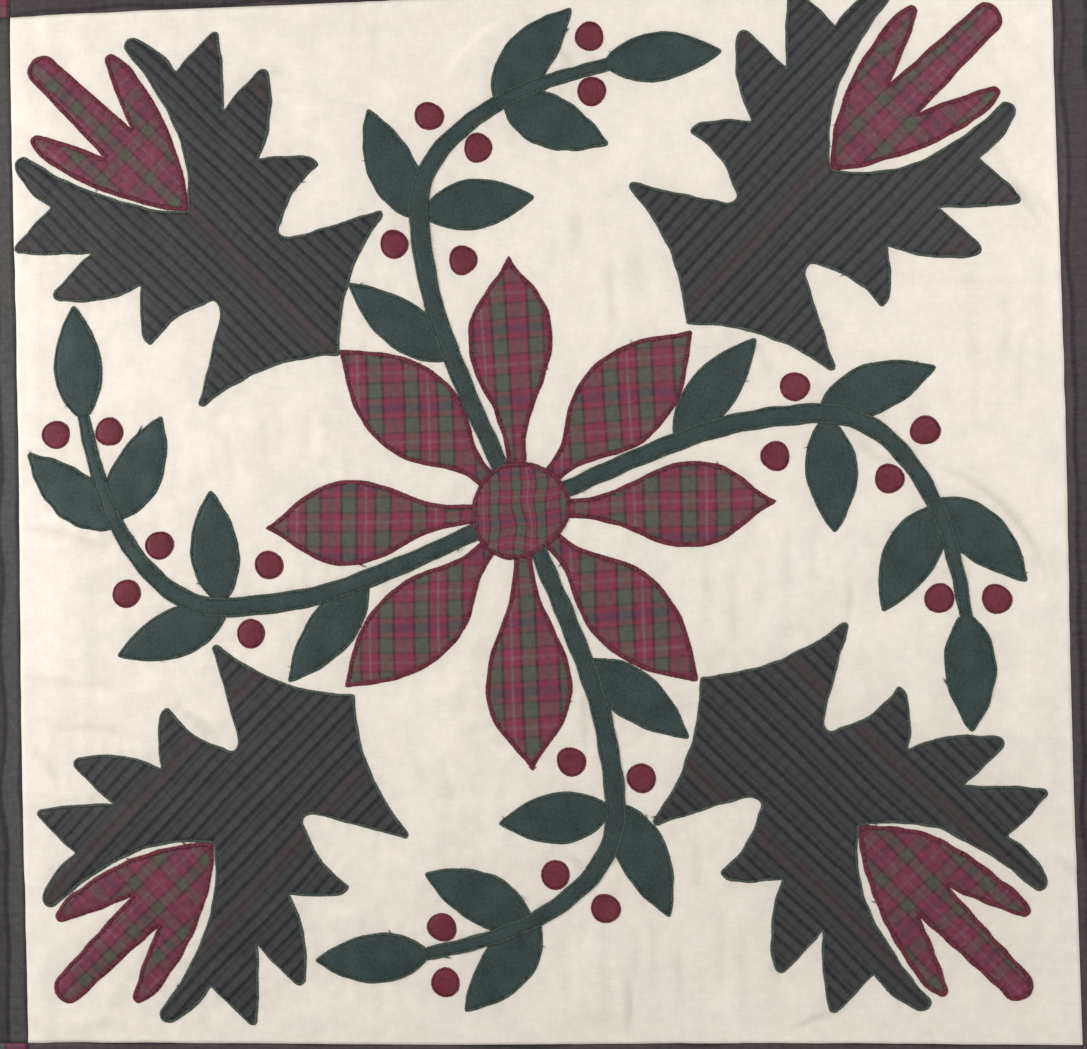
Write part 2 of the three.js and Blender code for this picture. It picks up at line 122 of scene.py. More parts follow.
# Flower: middle, the turn and start of the disc's weave, and the cut of the petals
FLOWER_X, FLOWER_Y, FLOWER_RADIUS = -7, 4.5, 28
DISC_PLAID = (2.0, -27, -15)
PETAL_NECK, PETAL_TUCK, PETAL_TIP_GUIDE, PETAL_SWELL = 5, 2, 14, 30
# where it is widest as a share of the reach, how far the neck stays narrow, tip guide
SLIM = (0.68, 40, 5)
BROAD = (0.61, 28, 9)
# name, turn in degrees, reach, sway of the tip, half width, cut, a crossing of the pale lines, plaid's slant
PETALS = (
    ("e", -1, 148, 1.5, 24.4, SLIM, (61, 6), 0.4),
    ("ne", 45.6, 141.5, -3.5, 26, BROAD, (58, 90), 1.5),
    ("n", 93.4, 148, -6.5, 24.2, SLIM, (-25, 90), 2.0),
    ("nw", 135.6, 141.8, 4, 25.8, BROAD, (-59, 88), 0.5),
    ("w", 182.5, 150, 1.5, 24.4, SLIM, (-96, 1), 0.0),
    ("sw", 228.6, 143.5, -10, 24, BROAD, (-53, -40), 0.8),
    ("s", 273.3, 152, -2, 24.6, SLIM, (-10, -80), 2.4),
    ("se", 316.2, 145, -3.3, 22.5, BROAD, (65, -37), 1.6),
)

# Vines: arm name, turn in degrees, stretch
ARMS = (("n", 0.3, 1.0), ("w", 90.4, 1.006), ("s", 180.3, 1.0), ("e", -91.4, 1.0))
VINE_ROUTE = (
    (-11.5, 26.4), (-30, 71), (-45.3, 115), (-52.2, 157), (-52, 186), (-41.2, 208.5),
    (-21.8, 226.5), (0.8, 239.5), (24.5, 248), (49.5, 254), (64, 256.6),
)
VINE_HALF = (4.6, 5.5, 3.3)
VINE_TUCK, VINE_STEPS, VINE_BIAS = 4, 12, 15
# base, tip, widths to the left and right
LEAVES = (
    ((-38, 91), (-96.5, 136), 14.5, 11.5),
    ((-54.5, 173.5), (-81, 238), 14.5, 12),
    ((-49, 175.5), (15, 181.5), 14.5, 12.5),
    ((-4, 237.5), (40, 290), 16, 11),
    ((-0.5, 241), (59.5, 209.5), 12, 16),
    ((60.5, 256.4), (126.5, 260), 14, 12.5),
)
LEAF_STEM = 3
LEAF_NEAR, LEAF_FAR = (0.25, 1.45), (0.65, 1.3)
BERRY_RADIUS, BERRY_TURN = 8.1, 17
BERRIES = ((50.5, 273), (51, 241), (-44.5, 232), (-16.5, 212), (-68.5, 158), (-28.5, 147))

# Serrated leaves: name, turn of the diagonal, fork past it, fork's reach, tulip's lean, open asides of leaf
# and tulip to the left and right, and how far from the middle the leaf's brown and tulip's green band lie
CORNERS = (
    ("ne", 45, 0.6, 265, -1.8, (26.7, 30.3), (20.8, 18.6), 3, 6),
    ("nw", 135.2, 1.6, 262.8, -0.4, (22.3, 27.2), (18.1, 19.5), 0, 1),
    ("sw", 225.5, 1.0, 266, -2.3, (26.7, 27.3), (20.4, 19.8), 34, 3),
    ("se", 315.2, 0.5, 267.5, -1.4, (30.7, 28.4), (24.4, 19), -43, 7),
)
FORK_CLEAR = 0.3
# how far into the sett its first green band lies
GREEN_BAND = 10.2
# along and aside from the fork, and how far the edge to it swells outwards; each corner gives the open aside
LEAF_SIDE = (
    (-122.4, 0, 0), (-85.8, 78, -7.4), (-82.8, 79.4, 0.4), (-55, 30, -0.5), (-45, 34, -4.5), (-38.5, 74, -4),
    (-29, 71.5, 1.5), (-10, 51.5, 1), (20, 92, 4), (26, 90, 2), (25, 57.5, 0.5), (59, 89, 1),
    (62, 85, 1.5), (62, 55, 0.5), (94, 53, 2.5), (95, 44, 2.5), (31, None, -3), (-0.4, 0, -2.1),
)
TULIP_SIDE = (
    (0, 0, 0), (28, None, 1.5), (77, 36, 2.4), (99, 35, 2), (99, 31, 0), (56, 11.5, 1),
    (120, 8.6, 0), (131, 0, 3.6),
)

# Discs: points, lobes that put them out of round and by how much
DISC_STEPS = 120
DISC_LOBES = ((2, 0.025), (3, 0.018))

# Cut edges: how finely they are drawn, how soft their corners are, how unevenly they were cut
EDGE_FINE, EDGE_SOFT = 0.5, 1.1
EDGE_UNEVEN, EDGE_UNEVEN_LONG = 0.28, 34
EDGE_WAVES = (0.5, 1, 1.6, 2.3)
FIELD_STEP, FIELD_BATCH = 4, 3000

# Cloth of the patches: steps, how far inside the edge its grid begins as a share of a step, and its section
CLOTH_EDGE_STEP, CLOTH_STEP, CLOTH_INSIDE = 1.5, 2.5, 0.55
CLOTH_FOOT, CLOTH_THICK, CLOTH_ROUND = 0.2, 0.22, 0.8
UNDERSIDE_FOOT, UNDERSIDE_LIFT = 0.5, 0.6
VINE_LIFT, DISC_LIFT, END_LEAF_LIFT, TULIP_LIFT = 0.42, 0.5, 0.2, 0.1
VINE_SINKS = (4, 16)
# how closely a patch's cloth is drawn together, and how far and over what length its weave sways
PATCH_WEAVE = (1.0, 0.35, 90)
DISC_WEAVE = (1.5, 1.0, 27)
SLAB_SWAY, SLAB_SWAY_LONG = 0.9, (60, 70)

# Strips and corners: cells, where the sett begins past each seam, and the binding's folded section
STRIP_CELLS = (240, 30)
STRIP_SETTS = {"n": -4, "w": -44, "s": -5, "e": -1}
CORNER_SETT = (9, 14)
FOLD_UNDER, FOLD_LOW, FOLD_TALL, FOLD_SEAM = 1.5, 2.2, LOFT + 1, LOFT + 0.3
FOLD_STEPS = (5, 7, 5)
BINDING_STATIONS = 241
# height, length and seed of the waves along the binding, their most, and how sharply they stop at its ends
BINDING_WAVES = ((0.22, 26, 31), (0.1, 9, 32))
BINDING_MOST, BINDING_STOPS, BINDING_FLAT = 0.4, 8, 1

# Satin stitches: pitch, half width, and how near a covering patch they stop
STITCH_PITCH, STITCH_HALF, STITCH_HIDDEN = 0.95, 0.66, 0.4
# how far the stitches of each thread reach out of and into the patch, and how far they rise above it
STITCH_REACH = {"burgundy": (0.7, 2.6, 0.05), "teal": (0.6, 1.4, 0.04), "green": (0.6, 1.3, 0.03),
                "berry": (0.6, 0.6, 0.03)}
# slant, shade and size: mean and spread, slow swell and its length, spread, and limits
STITCH_SLANT, STITCH_TONE = (0.12, 0.14), (0.5, 0.24)
STITCH_SWELL, STITCH_SWELL_LONG, STITCH_UNEVEN, STITCH_LUMP = 0.1, 3.1, 0.1, (0.6, 1.4)
# heights of the feet above the ground and the cloth, and where the crest begins and ends
STITCH_FOOT, STITCH_SEAT = 0.05, 0.02
STITCH_CREST = (0.45, 0.4)
# whiskers: how rare, spread of their lean, and ranges of their length, heights and shade
WHISKER_EVERY, WHISKER_LEAN, WHISKER_HALF, WHISKER_TUCK = 420, 0.9, 0.2, 0.8
WHISKER_LONG, WHISKER_TIP, WHISKER_ROOT = (1.5, 3.0), (0.3, 0.8), 0.7
WHISKER_CREST, WHISKER_TONE = (0.8, 1.3), (0.2, 1.0)

# Seeds of all that is uneven
SWELL_SEED, CRUMPLE_SEED, RUMPLE_SEED, PUFF_SEED, CALM_SEED = 1, 2, 3, 5, 6
DISC_SEED, PETAL_SEED, VINE_SEED, BIG_LEAF_SEED, TULIP_SEED = 3, 20, 40, 60, 70
LEAF_SEED, BERRY_SEED, ARM_SEEDS = 100, 200, 10
SLAB_SEEDS, STITCH_SEED = (8, 9), 500
# about one full turn, for phases picked at random
PHASES, DISC_PHASES = 6.28, 6


def smooth(value, low, high):
    """Soft step: nought up to low, one from high on, and 3t^2 - 2t^3 between."""
    t = np.clip((value - low) / (high - low), 0, 1)
    return t * t * (3 - 2 * t)


def waves(x, y, long, seed, turns=None, count=9):
    """Uneven swell: the sum of sine waves of about that length, each in a direction of its own, with a mean
    square of one."""
    pick = np.random.default_rng(seed)
    turns = pick.uniform(0, 2 * math.pi, count) if turns is None else pick.choice(turns, count)
    turns = turns + pick.normal(0, 0.16, count)
    total = np.zeros(np.shape(x))
    for turn, stretch, phase in zip(turns, pick.uniform(0.7, 1.5, count), pick.uniform(0, PHASES, count)):
        wave = 2 * math.pi / (long * stretch)
        total = total + np.sin(wave * (x * math.cos(turn) + y * math.sin(turn)) + phase)
    return total / math.sqrt(count / 2)


def turned(points, degrees, shift=(0, 0)):
    """Points turned about the origin and then shifted."""
    a = math.radians(degrees)
    spin = np.array([[math.cos(a), math.sin(a)], [-math.sin(a), math.cos(a)]])
    return np.asarray(points, float) @ spin + shift


def bent(*guides, steps=24):
    """Smooth curve of two or three guide steps: each guide is weighted by its term of (t + 1 - t) to that
    power."""
    t = np.linspace(0, 1, steps + 1)[:, None]
    n = len(guides) - 1
    return sum(math.comb(n, k) * t**k * (1 - t) ** (n - k) * np.array(g, float) for k, g in enumerate(guides))


def far_along(line):
    """Distance along a line at each of its points."""
    return np.concatenate([[0], np.cumsum(np.hypot(*np.diff(line, axis=0).T))])


def around(outline):
    """Distance along a closed outline at each of its points, with the whole length last."""
    return far_along(np.vstack([outline, outline[:1]]))


def even(outline, step):
    """The closed outline drawn again with points an even step apart."""
    far = around(outline)
    closed = np.vstack([outline, outline[:1]])
    at = np.linspace(0, far[-1], max(8, round(far[-1] / step)), endpoint=False)
    return np.stack([np.interp(at, far, closed[:, 0]), np.interp(at, far, closed[:, 1])], -1)


def leftward(run):
    """Unit steps a quarter turn to the left of each step."""
    run = run / np.linalg.norm(run, axis=1, keepdims=True)
    return np.stack([-run[:, 1], run[:, 0]], -1)


def outward(outline):
    """Unit steps across an evenly drawn outline that runs anticlockwise, away from its inside."""
    return -leftward(np.roll(outline, -1, axis=0) - np.roll(outline, 1, axis=0))


def enclosed(outline):
    """Area inside an outline, by the sum of its cross products; above nought when it runs anticlockwise."""
    following = np.roll(outline, -1, axis=0)
    return 0.5 * float(np.sum(outline[:, 0] * following[:, 1] - following[:, 0] * outline[:, 1]))


def scissored(outline, seed):
    """An outline as cut and turned under by hand: run anticlockwise, pushed in and out by slow waves along
    its length, and with its corners averaged over about a millimetre."""
    outline = np.asarray(outline, float)
    outline = even(outline if enclosed(outline) > 0 else outline[::-1], EDGE_FINE)
    far = around(outline)
    slow = np.random.default_rng(seed)
    push = np.zeros(len(outline))
    rounds = np.round(far[-1] / EDGE_UNEVEN_LONG * np.array(EDGE_WAVES))
    for turns in np.unique(np.maximum(2, rounds)):
        push += slow.normal() * np.sin(2 * math.pi * turns * far[:-1] / far[-1] + slow.uniform(0, PHASES))
    outline = outline + outward(outline) * (EDGE_UNEVEN * push / 2)[:, None]
    reach = int(3 * EDGE_SOFT / EDGE_FINE)
    weights = np.exp(-0.5 * (np.arange(-reach, reach + 1) * EDGE_FINE / EDGE_SOFT) ** 2)
    return sum(w * np.roll(outline, k - reach, axis=0) for k, w in enumerate(weights / weights.sum()))


def petal_outline(reach, sway, half, cut):
    """A narrow neck that swells to its widest place and closes in a point, swayed by its length squared."""
    wide_share, neck, tip = cut
    root = FLOWER_RADIUS - PETAL_TUCK
    wide = wide_share * reach
    widest = (wide, -half)
    shoulder = (reach + wide) / 2
    side = np.vstack([
        bent((root, -PETAL_NECK), (root + neck, -PETAL_NECK), (wide - PETAL_SWELL, -half), widest)[:-1],
        bent(widest, (shoulder, -half), (reach - PETAL_TIP_GUIDE, -tip), (reach, 0)),
    ])
    outline = np.vstack([side, side[-2::-1] * (1, -1)])
    outline[:, 1] += sway * ((outline[:, 0] - root) / (reach - root)) ** 2
    return outline


def leaf_outline(base, tip, left, right):
    """Two bent sides from a narrow stem to the tip, without their doubled ends."""
    run = np.subtract(tip, base)
    long = float(np.hypot(*run))
    near, far = LEAF_NEAR[0] * long, LEAF_FAR[0] * long
    outline = np.vstack([
        bent((0, -LEAF_STEM), (near, -LEAF_NEAR[1] * right), (far, -LEAF_FAR[1] * right), (long, 0))[:-1],
        bent((long, 0), (far, LEAF_FAR[1] * left), (near, LEAF_NEAR[1] * left), (0, LEAF_STEM))[:-1],
        bent((0, LEAF_STEM), (-1, 0), (0, -LEAF_STEM))[:-1],
    ])
    return turned(outline, math.degrees(math.atan2(run[1], run[0])), base)


def vine_route(stretch):
    """A smooth line through the route's points, each stretch bent by the points before and after it, and
    begun a little under the flower's disc."""
    p = np.array(VINE_ROUTE) * stretch
    first = p[1] - p[0]
    p[0] -= VINE_TUCK * first / np.hypot(*first)
    ends = np.vstack([2 * p[0] - p[1], p, 2 * p[-1] - p[-2]])
    t = np.linspace(0, 1, VINE_STEPS, endpoint=False)[:, None]
    line = [
        0.5 * (2 * b + (c - a) * t + (2 * a - 5 * b + 4 * c - d) * t**2 + (3 * b - a - 3 * c + d) * t**3)
        for a, b, c, d in zip(ends, ends[1:], ends[2:], ends[3:])
    ]
    return np.vstack([*line, p[-1:]])


def vine_outline(line):
    """The line with its half width set off to both sides."""
    far = far_along(line)
    half = np.interp(far / far[-1], (0, 0.5, 1), VINE_HALF)[:, None]
    aside = half * leftward(np.gradient(line, axis=0))
    return np.vstack([line - aside, (line + aside)[::-1]])


def folded_outline(table, asides):
    """A piece cut from a folded pattern: its table walked out with bowed edges on the left and back on the
    right, with the open point of the table set for each side."""
    halves = []
    for opened in asides:
        closed = [(ahead, opened if aside is None else aside, bow) for ahead, aside, bow in table]
        side = np.array(closed, float)
        start, stop, bow = side[:-1, :2], side[1:, :2], side[1:, 2]
        guide = (start + stop) / 2 + 2 * bow[:, None] * leftward(stop - start)
        edges = [bent(a, g, b)[:-1] for a, g, b in zip(start, guide, stop)]
        halves.append(np.vstack([*edges, side[-1:, :2]]))
    return np.vstack([halves[0], halves[1][-2:0:-1] * (1, -1)])


def disc_outline(radius, seed):
    """A circle cut by hand, a little out of round."""
    turn = np.linspace(0, 2 * math.pi, DISC_STEPS, endpoint=False)
    slow = np.random.default_rng(seed)
    share = 1
    for lobes, amount in DISC_LOBES:
        share = share + amount * np.sin(lobes * turn + slow.uniform(0, DISC_PHASES))
    out = radius * share
    return np.stack([out * np.cos(turn), out * np.sin(turn)], -1)


def edge_field(x, y, outline):
    """For each point its distance to a closed outline, below nought inside, and how far round it the nearest
    place lies. Each straight piece is tried at its nearest place, and an odd number of pieces crossed by a
    level line means inside. Points are taken in batches."""
    a = outline[:, None, :]
    run = np.roll(outline, -1, axis=0)[:, None, :] - a
    square = (run**2).sum(-1)
    far = around(outline)[:-1]
    gaps, places = [], []
    points = np.stack([np.ravel(x), np.ravel(y)], -1)
    for p in np.array_split(points, max(1, len(points) // FIELD_BATCH)):
        reach = p[None] - a
        share = np.clip((reach * run).sum(-1) / square, 0, 1)
        gap = np.hypot(*np.moveaxis(reach - share[..., None] * run, -1, 0))
        nearest = gap.argmin(0)
        column = np.arange(len(p))
        above = reach[..., 1] < 0
        crosses = (above != (reach[..., 1] < run[..., 1])) & (
            (reach[..., 0] * run[..., 1] < reach[..., 1] * run[..., 0]) == (run[..., 1] > 0))
        sign = np.where(crosses.sum(0) % 2 == 1, -1, 1)
        gaps.append(sign * gap[nearest, column])
        places.append(far[nearest] + share[nearest, column] * np.sqrt(square[nearest, 0]))
    return np.concatenate(gaps).reshape(np.shape(x)), np.concatenate(places).reshape(np.shape(x))


class Patch:
    """One cut patch: outline, cloth, thread, how far it lies above the ground, and the turn and start of its
    weave on the block."""

    def __init__(self, name, node, outline, cloth, thread, lift, weave, seed, under=(), flat=None,
                 sinks_at=None):
        self.name, self.node, self.cloth, self.thread, self.lift = name, node, cloth, thread, lift
        self.outline = scissored(outline, seed)
        self.weave, self.under, self.seed, self.sinks_at = weave, list(under), seed, sinks_at
        own = turned(self.outline, -weave[0])
        self.flat = flat or tuple(np.ptp(own, axis=0))
        self.area = abs(enclosed(self.outline))

    def lift_at(self, points):
        """The lift at each point, which fades away where the patch dips under another."""
        if self.sinks_at is None:
            return np.full(len(points), float(self.lift))
        away = np.hypot(*(points - self.sinks_at).T)
        return self.lift * smooth(away, *VINE_SINKS)


def cut_patches():
    """The list of patches, in the order in which they are sewn down."""
    middle = (FLOWER_X, FLOWER_Y)
    disc = Patch("flower_cloth", "flower_centre", disc_outline(FLOWER_RADIUS, DISC_SEED) + middle,
                 "red_plaid", "burgundy", DISC_LIFT, DISC_PLAID, DISC_SEED)
    cut = []
    for k, (name, turn, reach, sway, half, shape, pale, slant) in enumerate(PETALS):
        outline = turned(petal_outline(reach, sway, half, shape), turn, middle)
        cut.append(Patch(f"petal_cloth_{name}", f"petal_{name}", outline, "red_plaid", "burgundy", 0,
                         (slant, *pale), PETAL_SEED + k, under=[disc]))
    for k, (arm, turn, stretch) in enumerate(ARMS):
        line = turned(vine_route(stretch), turn, middle)
        long = float(far_along(line)[-1])
        vine = Patch(f"vine_cloth_{arm}", f"vine_{arm}", vine_outline(line), "green_cotton", "green",
                     VINE_LIFT, (turn + VINE_BIAS, *middle), VINE_SEED + k, under=[disc],
                     flat=(2 * VINE_HALF[1], long), sinks_at=line[-1])
        for i, (base, tip, left, right) in enumerate(LEAVES):
            base, tip = np.multiply(base, stretch), np.multiply(tip, stretch)
            lean = math.degrees(math.atan2(*np.subtract(tip, base)[::-1]))
            outline = turned(leaf_outline(base, tip, left, right), turn, middle)
            last = i == len(LEAVES) - 1
            leaf = Patch(f"leaf_cloth_{arm}_{i + 1}", None, outline, "green_cotton", "green",
                         END_LEAF_LIFT if last else 0, (turn + lean, *middle),
                         LEAF_SEED + ARM_SEEDS * k + i, under=[vine])
            cut.append(leaf)
        vine.under.append(leaf)
        cut.append(vine)
        for i, berry in enumerate(np.multiply(BERRIES, stretch)):
            seed = BERRY_SEED + ARM_SEEDS * k + i
            outline = turned(disc_outline(BERRY_RADIUS, seed) + berry, turn, middle)
            cut.append(Patch(f"berry_cloth_{arm}_{i + 1}", f"berry_{arm}_{i + 1}", outline, "berry_cotton",
                             "berry", 0, (BERRY_TURN * i, *middle), seed))
    for k, (name, turn, past, reach, lean, leaf_cut, tulip_cut, brown, green) in enumerate(CORNERS):
        fork = turned([(reach, 0)], turn + past, middle)[0]
        aside = turned([(0, 1)], turn)[0]
        leaf = turned(folded_outline(LEAF_SIDE, leaf_cut), turn, fork)
        cut.append(Patch(f"big_leaf_cloth_{name}", f"big_leaf_{name}", leaf, "dark_plaid", "teal", 0,
                         (turn - 90, *(fork + brown * aside)), BIG_LEAF_SEED + k))
        tulip = turned(turned(folded_outline(TULIP_SIDE, tulip_cut), lean, (FORK_CLEAR, 0)), turn, fork)
        cut.append(Patch(f"tulip_cloth_{name}", f"tulip_{name}", tulip, "worn_plaid", "burgundy", TULIP_LIFT,
                         (turn + lean - 90, *(fork + (green - GREEN_BAND) * aside)), TULIP_SEED + k))
    return [*cut, disc]


patches = cut_patches()


def crease(x, y, x0, y0, x1, y1, bow, half, tall):
    """A soft trough or ridge: a bell across a line that bows like a parabola, fading at both ends."""
    run = np.array([x1 - x0, y1 - y0], float)
    long = np.hypot(*run)
    dx, dy = x - x0, y - y0
    along = (dx * run[0] + dy * run[1]) / long**2
    aside = (dy * run[0] - dx * run[1]) / long - 4 * bow * along * (1 - along)
    fade = np.sqrt(np.clip(np.sin(math.pi * np.clip(along, 0, 1)), 0, 1))
    return tall * fade * np.exp(-((aside / half) ** 2))


def face_map():
    """Height of the quilted face in millimetres on a square grid: it rises away from the patches and seams,
    dips and puckers along them, swells and crumples all over, has creases, and puffs a little under a patch.
    With it go the depth inside the patches, and a painted shade: one on clear ground, less by a bell-weighted
    mean of the patches around, by a bell beside each edge, and along the creases, where shade falls."""
    line = np.arange(-MAP_NODES, MAP_NODES + 1) * PITCH
    x, y = np.meshgrid(line, line)
    seams = [np.abs(np.abs(v) - at) for v in (x, y) for at in (HALF_BLOCK, HALF_INNER)]
    clear = np.minimum.reduce(seams)
    clear = np.where((np.abs(x) < HALF_BLOCK) & (np.abs(y) < HALF_BLOCK), clear + BLOCK_CLEAR, clear)
    deep = np.zeros_like(x)
    ripple = np.zeros_like(x)
    for patch in patches:
        coarse = even(patch.outline, FIELD_STEP)
        low = np.searchsorted(line, coarse.min(0) - PUCKER_REACH)
        high = np.searchsorted(line, coarse.max(0) + PUCKER_REACH)
        part = (slice(low[1], high[1]), slice(low[0], high[0]))
        gap, place = edge_field(x[part], y[part], coarse)
        drift = PUCKER_DRIFT * np.sin(place / PUCKER_DRIFT_LONG + patch.seed)
        wave = np.sin(2 * math.pi * place / PUCKER_LONG + drift)
        ripple[part] = np.where(np.abs(gap) < clear[part], wave, ripple[part])
        clear[part] = np.minimum(clear[part], np.maximum(gap, 0))
        deep[part] = np.maximum(deep[part], -gap)
    square = (0, math.pi / 2)
    patchy = CALM + (1 - CALM) * smooth(waves(x, y, CALM_LONG, CALM_SEED), CALM_FROM, CALM_TO)
    uneven = 1 - PUFF_UNEVEN + PUFF_UNEVEN * waves(x, y, PUFF_LONG, PUFF_SEED)
    tall = LOFT + PUFF * uneven * smooth(clear, RISE_FROM, RISE_TO)
    tall += SWELL * waves(x, y, SWELL_LONG, SWELL_SEED) * smooth(clear, 0, SWELL_RUN)
    tall += patchy * CRUMPLE * waves(x, y, CRUMPLE_LONG, CRUMPLE_SEED, count=CRUMPLE_WAVES)
    tall += patchy * RUMPLE * waves(x, y, RUMPLE_LONG, RUMPLE_SEED, square, CRUMPLE_WAVES)
    inside = np.where(deep > 0, PUCKER_INSIDE * np.exp(-deep / PUCKER_INSIDE_FADE), 1)
    tall += PUCKER * ripple * np.exp(-clear / PUCKER_FADE) * inside
    ditch = np.exp(-((np.maximum(clear, deep) / DITCH_WIDE) ** 2))
    tall -= DITCH * ditch * np.where(deep > 0, DITCH_INSIDE, 1)
    tall += PATCH_PUFF * smooth(deep, 0, PATCH_PUFF_RUN)
    # Painted shade: darker where patches crowd the ground, beside their edges and along the creases, where
    # shade falls
    spread = np.exp(-0.5 * ((line[:, None] - line) / CROWD_WIDE) ** 2)
    spread /= spread.sum(1, keepdims=True)
    shade = 1 - CROWD_PAINTED_SHADE * (spread @ (deep > 0) @ spread.T)
    shade -= EDGE_PAINTED_SHADE * np.exp(-((clear / EDGE_PAINTED_SHADE_WIDE) ** 2))
    for row in CREASES:
        fold = crease(x, y, *row) * smooth(-deep, -CREASE_STOPS, 0)
        tall += CREASE_DEEP * fold
        shade += CREASE_PAINTED_SHADE * fold
    return np.clip(tall, FACE_LOW, FACE_HIGH), deep, shade


face, face_deep, face_painted_shade = face_map()


def face_height(x, y):
    """The height map read between its four nearest nodes."""
    i, j = (np.clip(np.asarray(v) / PITCH + MAP_NODES, 0, 2 * MAP_NODES - 1e-6) for v in (x, y))
    i0, j0 = i.astype(int), j.astype(int)
    u, v = i - i0, j - j0
    return ((face[j0, i0] * (1 - u) + face[j0, i0 + 1] * u) * (1 - v)
            + (face[j0 + 1, i0] * (1 - u) + face[j0 + 1, i0 + 1] * u) * v)


def laid(points):
    """Points of the flat block moved sideways with the wander of its seams, which is nought at the edge."""
    x, y, z = np.asarray(points, float).T
    still = math.pi / (2 * HALF_WHOLE)
    wave = 2 * math.pi / WANDER_WAVE
    return np.stack([
        x + WANDER * np.cos(still * x) * np.sin(wave * y + WANDER_START),
        y + WANDER * np.cos(still * y) * np.sin(wave * x - WANDER_START),
        z,
    ], -1)


def added(name, data):
    """An object with that data, put in the scene."""
    made = bpy.data.objects.new(name, data)
    scene.collection.objects.link(made)
    return made


def sewn(name, points, faces, material, weave=None, tone=None):
    """A piece from whole arrays: points in millimetres, and faces as arrays of three or four point numbers a
    row. weave is each point's place on its cloth in millimetres, kept as its own map, and tone its shade:
    painted shade on the ground, each stitch's own shade on the threads."""
    mesh = bpy.data.meshes.new(name)
    faces = [np.asarray(f) for f in faces]
    corners = np.concatenate([f.ravel() for f in faces])
    sizes = np.concatenate([np.full(len(f), f.shape[1]) for f in faces])
    mesh.vertices.add(len(points))
    mesh.vertices.foreach_set("co", (np.asarray(points) * MM).ravel())
    mesh.loops.add(len(corners))
    mesh.loops.foreach_set("vertex_index", corners.astype(np.int32))
    mesh.polygons.add(len(sizes))
    mesh.polygons.foreach_set("loop_start", (np.cumsum(sizes) - sizes).astype(np.int32))
    mesh.polygons.foreach_set("use_smooth", np.ones(len(sizes), bool))
    if weave is not None:
        mesh.uv_layers.new(name="weave").data.foreach_set("uv", np.asarray(weave)[corners].ravel())
    if tone is not None:
        mesh.attributes.new("tone", "FLOAT", "POINT").data.foreach_set("value", tone)
    mesh.update(calc_edges=True)
    mesh.materials.append(material)
    piece = added(name, mesh)
    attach(piece, "root")
    return piece


# Cloths: sizes of what shows in them, in metres for the muslin and in millimetres of weave for the others
BLOTCH, MOTTLE, SLUB = 0.055, 0.016, (0.0012, 0.009)
NAP, NAP_PUSH, FLUFF, LINT, WEAR, DYE = 1.3, 2.2, 1.6, 1.7, 4, 16
PLAID_YARN, PLAIN_YARN = (1.2, 6.0), (1.2, 5.0)
BAND_SOFT, BAND_SOFT_SHARE, BROWN_SOFT = 1.6, 0.8, 1.2
MIX_SHAKE = 0.3
# the span of a noise that is stretched over a range, by the numbers of the inputs that take it
NOISE_SPAN = {1: 0.3, 2: 0.7}


def linear(code):
    """An sRGB hex value as linear light."""
    value = np.array([int(code[k:k + 2], 16) for k in (1, 3, 5)]) / 255
    return (*np.where(value <= 0.04045, value / 12.92, ((value + 0.055) / 1.055) ** 2.4), 1.0)


def put(tree, kind, inputs=(), out=0, **settings):
    """Adds a node, its kind without the ShaderNode prefix, with its settings. Each listed input gets a value
    or the socket that feeds it. Gives one of the node's outputs."""
    made = tree.nodes.new("ShaderNode" + kind)
    for key, value in settings.items():
        setattr(made, key, value)
    for key, value in dict(inputs).items():
        if isinstance(value, bpy.types.NodeSocket):
            tree.links.new(value, made.inputs[key])
        else:
            made.inputs[key].default_value = value
    return made.outputs[out]


def matte(name, roughness, shine=0.2):
    """A material with its shader, to be given a colour and a relief."""
    material = bpy.data.materials.new(name)
    material.use_nodes = True
    shader = material.node_tree.nodes["Principled BSDF"]
    shader.inputs["Roughness"].default_value = roughness
    shader.inputs["Specular IOR Level"].default_value = shine
    return material, material.node_tree, shader.inputs


def threads(stops, sett):
    """Lays bands of thread on a colour ramp: rows of width in millimetres and colour, with soft edges. Gives
    the width of the whole sett."""
    whole = sum(width for width, _ in sett)
    at = 0.0
    for k, (width, code) in enumerate(sett):
        soft = min(BAND_SOFT, BAND_SOFT_SHARE * width)
        for place in (at + soft / 2, at + width - soft / 2):
            spot = max(0.0, min(1.0, place / whole))
            stop = stops[0] if k == 0 and place < at + width / 2 else stops.new(spot)
            stop.position = spot
            stop.color = linear(code)
        at += width
    stops.remove(stops[len(stops) - 1])
    return whole


def uneven_threads(tree, place, fine, long):
    """Uneven warp and weft: two noises, each drawn out along its own threads, adding up to about one."""
    ways = []
    for stretch in ((1 / long, 1 / fine, 1), (1 / fine, 1 / long, 1)):
        along = put(tree, "Mapping", {"Vector": place, "Scale": stretch})
        ways.append(put(tree, "TexNoise", {"Vector": along, "Scale": 1.0, "Detail": 2}))
    return put(tree, "Math", dict(enumerate(ways)))


